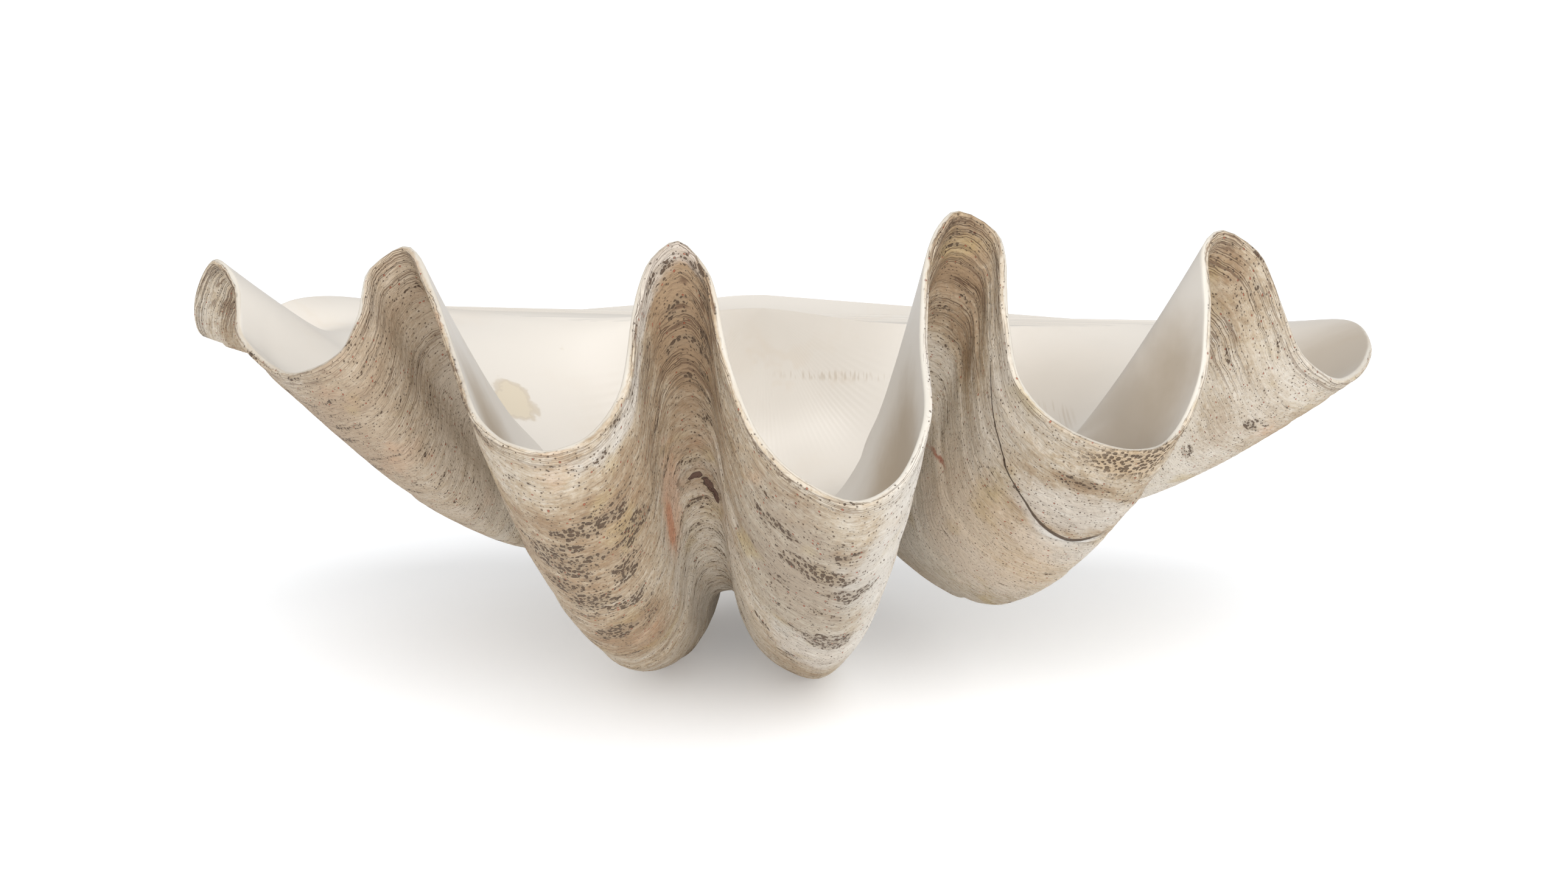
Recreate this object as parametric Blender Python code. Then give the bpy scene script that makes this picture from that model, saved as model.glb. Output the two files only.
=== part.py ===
"""Giant clam half shell, lying on its outside with the hollow side up.

The shell is one grown piece. Its outside holds every earlier margin of its life: each growth line
is the present margin made smaller and turned about the hinge, down to the beak. The inside follows
the same lines, moved in by the wall and, towards the hinge, forward and up, with its ribs filled, so
the wall is thin at the margin and thick at the hinge. Metres, +Z up, the wavy margin towards -Y and
the hinge towards +Y.
"""
import math

import bmesh
import bpy
import numpy as np

# Stations of the margin in millimetres, from the left end of the hinge round the front to its right
# end. A crest is where the margin stands up between two ribs.
LEFT_END = (
    (-296, 193, 230), (-348, 168, 243), (-384, 130, 247), (-417, 98, 235), (-436, 68, 240),
    (-435, 40, 272),
)
LEFT_WING = (
    (-415, 9, 307), (-396, -19, 294), (-389, -57, 269), (-354, -117, 256),
)
RIB_0 = (
    (-328, -160, 265), (-296, -186, 287),
)
CREST_1 = (
    (-282, -174, 312), (-278, -147, 336), (-260, -139, 348), (-241, -182, 333), (-217, -251, 296),
)
RIB_1 = (
    (-198, -304, 270), (-175, -334, 261), (-152, -343, 258), (-121, -334, 266), (-99, -313, 293),
)
CREST_2 = (
    (-92, -296, 335), (-82, -288, 371), (-67, -287, 382), (-53, -285, 365), (-40, -305, 311),
)
RIB_2 = (
    (-20, -319, 264), (7, -329, 238), (44, -332, 222), (75, -308, 229), (95, -271, 261),
)
CREST_3 = (
    (95, -212, 305), (102, -163, 353), (120, -135, 372), (143, -134, 358), (148, -148, 306),
)
RIB_3 = (
    (157, -170, 262), (184, -197, 238), (228, -228, 229), (257, -247, 243), (276, -238, 279),
)
CREST_4 = (
    (282, -211, 326), (283, -188, 359), (294, -178, 367), (317, -174, 352), (337, -163, 310),
)
RIGHT_END = (
    (354, -145, 275), (383, -112, 248), (411, -54, 239), (432, 22, 241), (431, 106, 238),
    (393, 176, 221),
)
MARGIN = (LEFT_END + LEFT_WING + RIB_0 + CREST_1 + RIB_1 + CREST_2 + RIB_2 + CREST_3 + RIB_3
          + CREST_4 + RIGHT_END)
STATION_GAP = 0.020

# The beak lies in the middle of the hinge. The stations are moved by REST so that the origin is
# under the middle of the shell, on the ground that the two middle ribs rest on.
BEAK = (-16, 196, 225)
REST = (1.4, 65.8, -9)
HINGE_YAW = math.radians(-1.3)

# The margin turns from its wavy part into the hinge between these distances in front of the beak.
HINGE_STARTS = 0.11
HINGE_FULL = 0.015

# The hinge line waves a little: a low hump by the beak. It fades away from the hinge.
HUMP_HEIGHT = 0.012
HUMP_X = -0.026
HUMP_WIDTH = 0.075
HUMP_REACH = 0.045

# Growth: the shell turns by one radian while it grows by e to the power TURN_RATE, and an early
# line has turned by LAST_TURN at most.
TURN_RATE = 0.676
LAST_TURN = 2.0
SMALLEST = 0.06

# Growth stops, as shares of the present size, with the height and width of the ledge at each.
STOPS = (0.962, 0.91, 0.85, 0.77, 0.67, 0.55, 0.41, 0.24)
LEDGE = 0.0022
LEDGE_WIDTH = 0.005

# The shelf across the third rib, where a broken layer stands off deeper than the other ledges.
SHELF_STOP = 0.85
SHELF_AT = (0.200, -0.125)
SHELF_REACH = 0.08
SHELF_DEPTH = 0.004

# Early folds were lower than the present ones.
FOLDS_FULL = 0.50
FOLDS_LOW = 0.10
FOLD_LOSS = 0.6
EVENING_ROUNDS = 60

# The rounded edge: for each line of it, the share of the way in and of the full rounding.
EDGE_WALL = 0.0055
EDGE_ROUND = 0.0014
EDGE_LINES = ((0.2, 0.8), (0.5, 1.0), (0.8, 0.8))

# Wall: thin at the wavy margin, thicker by BELLY_WALL halfway, then filled towards the hinge, where it
# ends in a flat shelf. Between the sizes DEEP_STARTS and DEEP_ENDS the inner surface is moved forward
# by up to SHELF_MIDDLE, up by up to SHELF_HEIGHT, and raised by FLOOR_RISE halfway.
BELLY_WALL = 0.008
DEEP_STARTS = 0.85
DEEP_ENDS = 0.05
SHELF_END = 0.006
SHELF_MIDDLE = 0.048
SHELF_FULL = 0.1
SHELF_HEIGHT = 0.007
FLOOR_RISE = 0.014
RIB_FILL_STARTS = 0.92
RIB_FILL_ENDS = 0.50
RIB_FILL_ROUNDS = 190
FLOOR_EVEN_STARTS = 0.62
FLOOR_EVEN_ENDS = 0.22
FLOOR_EVEN_ROUNDS = 40
INNER_SIZES = (0.975, 0.94, 0.89, 0.83, 0.76, 0.68, 0.59, 0.49, 0.37, 0.24, 0.12)

# At each end of the hinge the outer lines rise to the shelf over this last share of their length.
CORNER_SHARE = 0.1

SHELL_NAME = "giant_clam_half_shell"
SHELL_COLOUR = (0.60, 0.52, 0.42, 1.0)
SHELL_ROUGHNESS = 0.62
SHARP_ANGLE = math.radians(35)
WELD = 0.00001


def metres(stations):
    """Stations in millimetres, moved to the resting place, as an array in metres."""
    return (np.array(stations, dtype=float) + np.array(REST)) / 1000.0


def blend(a, b, at_a, at_b, t):
    """The point between a and b at t, where t runs from at_a to at_b."""
    return a + (b - a) * ((t - at_a) / (at_b - at_a))


def smooth_curve(stations, gap):
    """A smooth curve through the stations, with a point about every gap."""
    ends = (2 * stations[0] - stations[1], 2 * stations[-1] - stations[-2])
    stations = np.vstack([ends[0], stations, ends[1]])
    points = []
    for before, start, end, after in zip(stations, stations[1:], stations[2:], stations[3:]):
        chords = (start - before, end - start, after - end)
        at = np.cumsum([0.0] + [math.sqrt(np.linalg.norm(chord)) for chord in chords])
        pieces = max(1, round(float(np.linalg.norm(end - start)) / gap))
        for t in np.linspace(at[1], at[2], pieces, endpoint=False):
            first = blend(before, start, at[0], at[1], t)
            middle = blend(start, end, at[1], at[2], t)
            last = blend(end, after, at[2], at[3], t)
            left = blend(first, middle, at[0], at[2], t)
            right = blend(middle, last, at[1], at[3], t)
            points.append(blend(left, right, at[1], at[2], t))
    points.append(stations[-2])
    return np.array(points)


def ease(value, low, high):
    """A smooth step from 0 at low to 1 at high."""
    t = np.clip((value - low) / (high - low), 0.0, 1.0)
    return t * t * (3.0 - 2.0 * t)


def growth_line(margin, pole, size):
    """The margin when the shell had this share of its present size, grown about the pole."""
    turned = -math.log(size) / TURN_RATE
    turned = turned / (1.0 + (turned / LAST_TURN) ** 4) ** 0.25
    yaw_cos, yaw_sin = math.cos(HINGE_YAW), math.sin(HINGE_YAW)
    away = margin - pole
    along = away[:, 0] * yaw_cos + away[:, 1] * yaw_sin
    behind = -away[:, 0] * yaw_sin + away[:, 1] * yaw_cos
    back = behind * math.cos(turned) - away[:, 2] * math.sin(turned)
    up = behind * math.sin(turned) + away[:, 2] * math.cos(turned)
    x = along * yaw_cos - back * yaw_sin
    y = along * yaw_sin + back * yaw_cos
    return pole + size * np.stack([x, y, up], axis=1)


def unit(vectors):
    return vectors / np.linalg.norm(vectors, axis=-1, keepdims=True)


def inward(lines):
    """Directions into the hollow on a grid of growth lines, which run from the margin to the pole."""
    return unit(np.cross(np.gradient(lines, axis=1), np.gradient(lines, axis=0)))


def hinge_share(margin, beak):
    """1 at the ends of the margin, on the hinge, and 0 along its wavy part."""
    return ease(margin[:, 1], beak[1] - HINGE_STARTS, beak[1] - HINGE_FULL)


def evened(margin):
    """The margin with its folds evened out and its ends kept."""
    even = margin.copy()
    for _ in range(EVENING_ROUNDS):
        even[1:-1] = (even[:-2] + 2.0 * even[1:-1] + even[2:]) / 4.0
    return even


def growth_lines(margin, beak, sizes):
    """Growth lines of these sizes, the early ones with lower folds."""
    even = evened(margin)
    lines = []
    for size in sizes:
        loss = FOLD_LOSS * float(ease(size, FOLDS_FULL, FOLDS_LOW))
        lines.append(growth_line(margin + (even - margin) * loss, beak, size))
    return np.array(lines)


def outside_lines(margin, beak, share):
    """The outer growth lines from the margin to the beak, with a ledge at every growth stop."""
    sizes = [1.0]
    heights = [0.0]
    for stop in STOPS:
        sizes += [stop + LEDGE_WIDTH, stop]
        heights += [-0.5, 0.5]
    sizes.append(SMALLEST)
    heights.append(0.0)
    sizes = np.array(sizes)
    lines = growth_lines(margin, beak, sizes)
    away = np.linalg.norm(lines[:, :, :2] - np.array(SHELF_AT), axis=2)
    below_shelf = np.abs(sizes - SHELF_STOP - LEDGE_WIDTH) < LEDGE_WIDTH / 2
    shelf = SHELF_DEPTH * np.exp(-2.0 * (away / SHELF_REACH) ** 2) * below_shelf[:, None]
    ledges = (np.array(heights) * LEDGE * np.sqrt(sizes))[:, None] - shelf
    return lines - inward(lines) * (ledges * (1.0 - share))[:, :, None]


def inside_lines(margin, beak, share):
    """The inner surface from the margin down to its pole, with the ribs filled in on the way."""
    sizes = np.array((1.0,) + INNER_SIZES)
    lines = growth_lines(margin, beak, sizes)
    near = growth_lines(margin, beak, (1.0, 0.99, 0.98))
    into = inward(lines)
    into[0] = inward(near)[0]
    rib = 1.0 - share
    wall = EDGE_WALL * sizes + BELLY_WALL * 4.0 * sizes * (1.0 - sizes)
    deep = ease(sizes, DEEP_STARTS, DEEP_ENDS)[:, None]
    shelf = SHELF_END + (SHELF_MIDDLE - SHELF_END) * ease(sizes, 1.0, SHELF_FULL)[:, None]
    lines = lines + into * wall[:, None, None] * rib[:, None]
    lines[:, :, 1] -= SHELF_MIDDLE * deep * rib + shelf * share
    lines[:, :, 2] += (FLOOR_RISE * np.sin(math.pi * deep) + SHELF_HEIGHT * deep) * rib
    lines[:, :, 2] += SHELF_HEIGHT * share
    fill = (ease(sizes, RIB_FILL_STARTS, RIB_FILL_ENDS)[:, None] * rib)[:, 1:-1, None]
    for _ in range(RIB_FILL_ROUNDS):
        move = (lines[:, :-2] + lines[:, 2:]) / 2.0 - lines[:, 1:-1]
        filling = np.sum(move * into[:, 1:-1], axis=2, keepdims=True) > 0.0
        lines[:, 1:-1] += move * filling * fill
    even = (ease(sizes, FLOOR_EVEN_STARTS, FLOOR_EVEN_ENDS)[:, None] * rib)[:, 1:-1, None]
    for _ in range(FLOOR_EVEN_ROUNDS):
        lines[:, 1:-1] += ((lines[:, :-2] + lines[:, 2:]) / 2.0 - lines[:, 1:-1]) * even
    return lines


def edge_lines(outer, inner, growing, share):
    """The rounded edge between the outer and the inner side of the margin."""
    rise = EDGE_ROUND * (1.0 - share)[:, None]
    return [outer + (inner - outer) * part + growing * rise * high
            for part, high in EDGE_LINES]


def hump(rows, beak):
    """Lift the surface by the beak, the most on the hinge line and its shelf."""
    in_front = np.maximum(beak[1] - SHELF_MIDDLE - rows[..., 1], 0.0)
    off_hinge = np.hypot(in_front, rows[..., 2] - beak[2])
    along = np.exp(-(((rows[..., 0] - HUMP_X) / HUMP_WIDTH) ** 2))
    lifted = rows.copy()
    lifted[..., 2] += HUMP_HEIGHT * along * np.exp(-((off_hinge / HUMP_REACH) ** 2))
    return lifted


def shell_rows():
    """The sheet that goes from the beak up the outside, over the margin and down the inside."""
    beak = metres([BEAK])[0]
    margin = smooth_curve(metres(MARGIN), STATION_GAP)
    share = hinge_share(margin, beak)
    growing = unit(margin - growth_line(margin, beak, 0.99))
    outside = outside_lines(margin, beak, share)
    inside = inside_lines(margin, beak, share)
    edge = edge_lines(outside[0], inside[0], growing, share)
    columns = len(margin)
    pole = beak + np.array([0.0, -SHELF_MIDDLE, SHELF_HEIGHT])
    rows = [np.tile(beak, (columns, 1))] + list(outside[::-1]) + edge + list(inside)
    rows.append(np.tile(pole, (columns, 1)))
    rows = np.array(rows)
    ends = rows[:, [0, -1]].copy()
    outer = 1 + len(outside)
    to_end = np.abs(ends[:outer, :, 0] - beak[0]) / np.abs(margin[[0, -1], 0] - beak[0])
    ends[:outer, :, 2] += SHELF_HEIGHT * ease(to_end, 1.0, 1.0 - CORNER_SHARE)
    return hump(np.concatenate([ends[:, :1], rows, ends[:, 1:]], axis=1), beak)


def build_shell(collection):
    """Bend one grid to the rows, close it along the hinge, and wear two resting places flat."""
    rows = shell_rows()
    last_row, last_column = rows.shape[0] - 1, rows.shape[1] - 1
    shape = bmesh.new()
    bmesh.ops.create_grid(shape, x_segments=last_column, y_segments=last_row, size=1.0)
    for vertex in shape.verts:
        column = round((vertex.co.x + 1.0) / 2.0 * last_column)
        row = round((vertex.co.y + 1.0) / 2.0 * last_row)
        vertex.co = rows[row, column]
    bmesh.ops.remove_doubles(shape, verts=shape.verts[:], dist=WELD)
    hinge_edges = [edge for edge in shape.edges if edge.is_boundary]
    bmesh.ops.holes_fill(shape, edges=hinge_edges, sides=0)
    bmesh.ops.triangulate(shape, faces=shape.faces[:])
    bmesh.ops.recalc_face_normals(shape, faces=shape.faces[:])
    everything = shape.verts[:] + shape.edges[:] + shape.faces[:]
    bmesh.ops.bisect_plane(
        shape, geom=everything, dist=WELD, plane_co=(0, 0, 0), plane_no=(0, 0, -1), clear_outer=True)
    cut_edges = [edge for edge in shape.edges if edge.is_boundary]
    bmesh.ops.holes_fill(shape, edges=cut_edges, sides=0)
    bmesh.ops.triangulate(shape, faces=shape.faces[:])
    bmesh.ops.recalc_face_normals(shape, faces=shape.faces[:])

    mesh = bpy.data.meshes.new(SHELL_NAME)
    shape.to_mesh(mesh)
    shape.free()
    mesh.shade_smooth()
    mesh.set_sharp_from_angle(angle=SHARP_ANGLE)
    shell = bpy.data.objects.new(SHELL_NAME, mesh)
    shell.data.materials.append(shell_lime())
    collection.objects.link(shell)
    return shell


def shell_lime():
    """Weathered shell lime: warm grey-cream, matt."""
    material = bpy.data.materials.new("shell_lime")
    material.use_nodes = True
    surface = material.node_tree.nodes["Principled BSDF"]
    surface.inputs["Base Color"].default_value = SHELL_COLOUR
    surface.inputs["Roughness"].default_value = SHELL_ROUGHNESS
    return material


for item in list(bpy.data.objects):
    bpy.data.objects.remove(item, do_unlink=True)
collection = bpy.data.collections.new("Giant clam half shell")
bpy.context.scene.collection.children.link(collection)
build_shell(collection)
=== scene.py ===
"""The looks of a giant clam half shell: its grown outside, its bored and stained skin, its smooth hollow."""
import math

import bmesh
import bpy
import numpy as np
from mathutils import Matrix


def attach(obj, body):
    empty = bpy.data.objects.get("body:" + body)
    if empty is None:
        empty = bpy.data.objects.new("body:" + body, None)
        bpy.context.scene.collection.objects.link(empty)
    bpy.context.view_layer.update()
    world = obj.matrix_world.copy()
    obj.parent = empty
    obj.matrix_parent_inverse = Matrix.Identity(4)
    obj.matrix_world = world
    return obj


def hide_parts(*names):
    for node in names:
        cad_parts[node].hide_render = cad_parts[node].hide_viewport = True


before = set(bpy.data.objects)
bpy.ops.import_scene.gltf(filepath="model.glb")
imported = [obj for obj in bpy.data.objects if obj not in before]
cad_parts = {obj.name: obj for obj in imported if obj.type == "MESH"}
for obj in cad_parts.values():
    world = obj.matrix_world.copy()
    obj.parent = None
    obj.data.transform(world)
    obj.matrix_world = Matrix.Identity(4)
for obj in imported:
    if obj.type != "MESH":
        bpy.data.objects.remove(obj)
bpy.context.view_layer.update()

# The margin of the shell, the wavy edge that it grew along. It is one open curve, from the left end
# of the hinge round the front to its right end, with a station at every turn of a rib or a crest.
LEFT_END = (
    (-296, 193, 230), (-348, 168, 243), (-384, 130, 247), (-417, 98, 235), (-436, 68, 240),
    (-435, 40, 272),
)
LEFT_WING = (
    (-415, 9, 307), (-396, -19, 294), (-389, -57, 269), (-354, -117, 256),
)
RIB_0 = (
    (-328, -160, 265), (-296, -186, 287),
)
CREST_1 = (
    (-282, -174, 312), (-278, -147, 336), (-260, -139, 348), (-241, -182, 333), (-217, -251, 296),
)
RIB_1 = (
    (-198, -304, 270), (-175, -334, 261), (-152, -343, 258), (-121, -334, 266), (-99, -313, 293),
)
CREST_2 = (
    (-92, -296, 335), (-82, -288, 371), (-67, -287, 382), (-53, -285, 365), (-40, -305, 311),
)
RIB_2 = (
    (-20, -319, 264), (7, -329, 238), (44, -332, 222), (75, -308, 229), (95, -271, 261),
)
CREST_3 = (
    (95, -212, 305), (102, -163, 353), (120, -135, 372), (143, -134, 358), (148, -148, 306),
)
RIB_3 = (
    (157, -170, 262), (184, -197, 238), (228, -228, 229), (257, -247, 243), (276, -238, 279),
)
CREST_4 = (
    (282, -211, 326), (283, -188, 359), (294, -178, 367), (317, -174, 352), (337, -163, 310),
)
RIGHT_END = (
    (354, -145, 275), (383, -112, 248), (411, -54, 239), (432, 22, 241), (431, 106, 238),
    (393, 176, 221),
)
MARGIN = (LEFT_END + LEFT_WING + RIB_0 + CREST_1 + RIB_1 + CREST_2 + RIB_2 + CREST_3 + RIB_3
          + CREST_4 + RIGHT_END)
STATION_GAP = 0.020
COLUMN_SPLIT = 3
BEAK = (-16, 196, 225)
REST = (1.4, 65.8, -9)


def metres(stations):
    """Stations in millimetres, moved to the resting place, as an array in metres."""
    return (np.array(stations, dtype=float) + np.array(REST)) / 1000.0


def blend(a, b, at_a, at_b, t):
    """The point between a and b at t, where t runs from at_a to at_b."""
    return a + (b - a) * ((t - at_a) / (at_b - at_a))


def smooth_curve(stations, gap, split):
    """A smooth curve through the stations, with a point about every gap, each gap split again."""
    ends = (2 * stations[0] - stations[1], 2 * stations[-1] - stations[-2])
    stations = np.vstack([ends[0], stations, ends[1]])
    points = []
    for before, start, end, after in zip(stations, stations[1:], stations[2:], stations[3:]):
        chords = (start - before, end - start, after - end)
        at = np.cumsum([0.0] + [math.sqrt(np.linalg.norm(chord)) for chord in chords])
        pieces = max(1, round(float(np.linalg.norm(end - start)) / gap)) * split
        for t in np.linspace(at[1], at[2], pieces, endpoint=False):
            first = blend(before, start, at[0], at[1], t)
            middle = blend(start, end, at[1], at[2], t)
            last = blend(end, after, at[2], at[3], t)
            left = blend(first, middle, at[0], at[2], t)
            right = blend(middle, last, at[1], at[3], t)
            points.append(blend(left, right, at[1], at[2], t))
    points.append(stations[-2])
    return np.array(points)


beak = metres([BEAK])[0]
coarse_margin = smooth_curve(metres(MARGIN), STATION_GAP, 1)
margin = smooth_curve(metres(MARGIN), STATION_GAP, COLUMN_SPLIT)
column_at = np.arange(len(margin)) / COLUMN_SPLIT

# How the shell grew: every earlier margin is the present one made smaller and turned about the
# hinge. Towards the beak the turn slows down and the folds get lower.
HINGE_YAW = math.radians(-1.3)
HINGE_STARTS = 0.11
HINGE_FULL = 0.015
TURN_RATE = 0.676
LAST_TURN = 2.0
TURN_BEND = 4
YOUNGEST = (1.0, 0.99, 0.98)
SMALLEST = 0.06
FOLDS_FULL = 0.50
FOLDS_LOW = 0.10
FOLD_LOSS = 0.6
EVENING_ROUNDS = 60


def ease(value, low, high):
    """A smooth step from 0 at low to 1 at high."""
    t = np.clip((value - low) / (high - low), 0.0, 1.0)
    return t * t * (3.0 - 2.0 * t)


def between(values, at):
    """Smooth values at fractional places along the first axis."""
    last = len(values) - 1
    at = np.clip(at, 0.0, last)
    here = np.minimum(at.astype(int), last - 1)
    t = (at - here).reshape((-1,) + (1,) * (values.ndim - 1))
    a, b = values[np.maximum(here - 1, 0)], values[here]
    c, d = values[here + 1], values[np.minimum(here + 2, last)]
    return b + 0.5 * t * (c - a + t * (2 * a - 5 * b + 4 * c - d + t * (3 * (b - c) + d - a)))


def growth_line(line, pole, sizes):
    """The margin when the shell had these shares of its present size, one share for each column."""
    turned = -np.log(sizes) / TURN_RATE
    turned = turned / (1.0 + (turned / LAST_TURN) ** TURN_BEND) ** (1.0 / TURN_BEND)
    yaw_cos, yaw_sin = math.cos(HINGE_YAW), math.sin(HINGE_YAW)
    away = line - pole
    along = away[:, 0] * yaw_cos + away[:, 1] * yaw_sin
    behind = -away[:, 0] * yaw_sin + away[:, 1] * yaw_cos
    back = behind * np.cos(turned) - away[:, 2] * np.sin(turned)
    up = behind * np.sin(turned) + away[:, 2] * np.cos(turned)
    x = along * yaw_cos - back * yaw_sin
    y = along * yaw_sin + back * yaw_cos
    return pole + sizes[:, None] * np.stack([x, y, up], axis=1)


def growth_lines(line, even, sizes):
    """Growth lines with lower folds in the early ones. Sizes has a row of shares for each line."""
    lines = []
    for shares in sizes:
        loss = FOLD_LOSS * ease(shares, FOLDS_FULL, FOLDS_LOW)[:, None]
        lines.append(growth_line(line + (even - line) * loss, beak, shares))
    return np.array(lines)


def unit(vectors):
    return vectors / np.linalg.norm(vectors, axis=-1, keepdims=True)


def inward(lines):
    """Directions into the hollow on a grid of growth lines, which run from the margin to the beak."""
    return unit(np.cross(np.gradient(lines, axis=1), np.gradient(lines, axis=0)))


def hinge_share(line):
    """1 at the ends of the margin, on the hinge, and 0 along its wavy part."""
    return ease(line[:, 1], beak[1] - HINGE_STARTS, beak[1] - HINGE_FULL)


coarse_even = coarse_margin.copy()
for _ in range(EVENING_ROUNDS):
    coarse_even[1:-1] = (coarse_even[:-2] + 2.0 * coarse_even[1:-1] + coarse_even[2:]) / 4.0
even_margin = between(coarse_even, column_at)
share = hinge_share(margin)

# The outside is a stack of shell layers, each ending in a ledge where growth stopped for a while.
# Eight ledges are large. Fine ones lie between them, and each fades in and out along the margin.
STOPS = (0.962, 0.91, 0.85, 0.77, 0.67, 0.55, 0.41, 0.24)
LEDGE = 0.0022
LEDGE_WIDTH = 0.005
SHELF_STOP = 0.85
SHELF_AT = (0.200, -0.125)
SHELF_REACH = 0.08
SHELF_FADE = 2.0
SHELF_DEPTH = 0.004
FINE_LEDGE = 0.0003
FINE_WIDTH = 0.0014
FINE_NEAREST = 0.007
FINE_GAPS = (0.0055, 0.0115)
FINE_OLDEST = 0.60
OLD_ROWS = 34

# The lines waver, and the ledges stand out more in some places than in others. Each of these has the
# length over which it changes along the margin.
WAVER = 0.0022
WAVER_LENGTH = 0.05
WAVER_ROWS = 12
WAVER_FULL = 0.97
STANDING_LENGTH = WAVER_LENGTH * 3
STANDING_ROWS = 9
STANDING_MEAN = 0.45
STANDING_SWING = 0.5
STANDING_MOST = 1.2
FINE_LENGTH = WAVER_LENGTH * 2
FINE_MEAN = 0.7
FINE_SWING = 0.6
FINE_MOST = 2.0

chance = np.random.default_rng(11)


def wander(length, count):
    """Smooth chance values along the margin, about 0, that change over this length."""
    steps = np.linalg.norm(np.diff(margin, axis=0), axis=1)
    at = np.concatenate([[0.0], np.cumsum(steps)]) / length
    knots = chance.normal(size=(int(at[-1]) + 4, count))
    return between(knots, at + chance.uniform(0.0, 1.0)).T


def wander_over(rows, length, count):
    """Such values for this many rows, smooth from row to row too, from this count of chance ones."""
    return between(wander(length, count), np.linspace(0.0, count - 1.0, rows))


def fine_stops():
    """Shares of the present size at which the fine ledges stand, clear of the large ones."""
    stops = []
    size = 1.0 - FINE_NEAREST
    while size > FINE_OLDEST:
        if min(abs(size - stop - LEDGE_WIDTH / 2) for stop in STOPS) > LEDGE_WIDTH:
            stops.append(size)
        size -= chance.uniform(*FINE_GAPS)
    return stops


def outside_sizes():
    """The size of every outer row, with the share of a large and of a fine ledge that it stands at."""
    rows = [(1.0, 0.0, 0.0)]
    for stop in STOPS:
        rows += [(stop + LEDGE_WIDTH, -0.5, 0.0), (stop, 0.5, 0.0)]
    for stop in fine_stops():
        rows += [(stop + FINE_WIDTH, None, -0.5), (stop, None, 0.5)]
        rows.append((stop - FINE_GAPS[0] / 2, None, 0.0))
    for size in np.geomspace(FINE_OLDEST - FINE_NEAREST, SMALLEST, OLD_ROWS):
        rows.append((size, None, 0.0))
    rows.sort(key=lambda row: -row[0])
    known = [(size, large) for size, large, _ in rows if large is not None]
    known.append((SMALLEST, 0.0))
    sizes = np.array([size for size, _, _ in rows])
    large = np.interp(-sizes, [-size for size, _ in known], [height for _, height in known])
    return sizes, large, np.array([fine for _, _, fine in rows])


def outside_lines():
    """The outer growth lines from the margin to the beak, with their ledges, and their sizes."""
    sizes, large, fine = outside_sizes()
    waver = WAVER * wander_over(len(sizes), WAVER_LENGTH, WAVER_ROWS)
    waver *= ease(sizes, 1.0, WAVER_FULL)[:, None] * (1.0 - share)
    wavy = sizes[:, None] * (1.0 + waver)
    lines = growth_lines(margin, even_margin, wavy)
    away = np.linalg.norm(lines[:, :, :2] - np.array(SHELF_AT), axis=2)
    below_shelf = np.abs(sizes - SHELF_STOP - LEDGE_WIDTH) < LEDGE_WIDTH / 2
    shelf = SHELF_DEPTH * np.exp(-SHELF_FADE * (away / SHELF_REACH) ** 2) * below_shelf[:, None]
    strength = np.clip(FINE_MEAN + FINE_SWING * wander(FINE_LENGTH, len(sizes)), 0.0, FINE_MOST)
    height = wander_over(len(sizes), STANDING_LENGTH, STANDING_ROWS)
    standing = np.clip(STANDING_MEAN + STANDING_SWING * height, 0.0, STANDING_MOST)
    ledges = (large * LEDGE * np.sqrt(sizes))[:, None] * standing - shelf
    ledges = ledges + (fine * FINE_LEDGE * np.sqrt(sizes))[:, None] * strength
    return lines - inward(lines) * (ledges * (1.0 - share))[:, :, None], wavy


# The inside follows the same lines, moved in by the wall and, towards the hinge, forward and up.
# Lime laid down over the years fills the ribs and leaves the floor smooth.
EDGE_WALL = 0.0055
EDGE_ROUND = 0.0014
EDGE_LINES = ((0.06, 0.5), (0.2, 0.85), (0.4, 1.0), (0.6, 1.0), (0.8, 0.85), (0.94, 0.5))
BELLY_WALL = 0.008
DEEP_STARTS = 0.85
DEEP_ENDS = 0.05
SHELF_END = 0.006
SHELF_MIDDLE = 0.048
SHELF_FULL = 0.1
SHELF_HEIGHT = 0.007
FLOOR_RISE = 0.014
RIB_FILL_STARTS = 0.92
RIB_FILL_ENDS = 0.50
RIB_FILL_ROUNDS = 300
FLOOR_EVEN_STARTS = 0.68
FLOOR_EVEN_ENDS = 0.40
FLOOR_EVEN_ROUNDS = 150
LAST_EVEN_ROUNDS = 8
MOST_LOWERED = 0.5
DEEP_LOWERED = 0.02
INNER_SIZES = (0.975, 0.94, 0.89, 0.83, 0.76, 0.68, 0.59, 0.49, 0.37, 0.24, 0.12)
INNER_ROWS = ((0.0, 1.0, 5), (1.0, 5.0, 25), (5.0, 12.0, 38))

pole = beak + np.array([0.0, -SHELF_MIDDLE, SHELF_HEIGHT])


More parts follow.
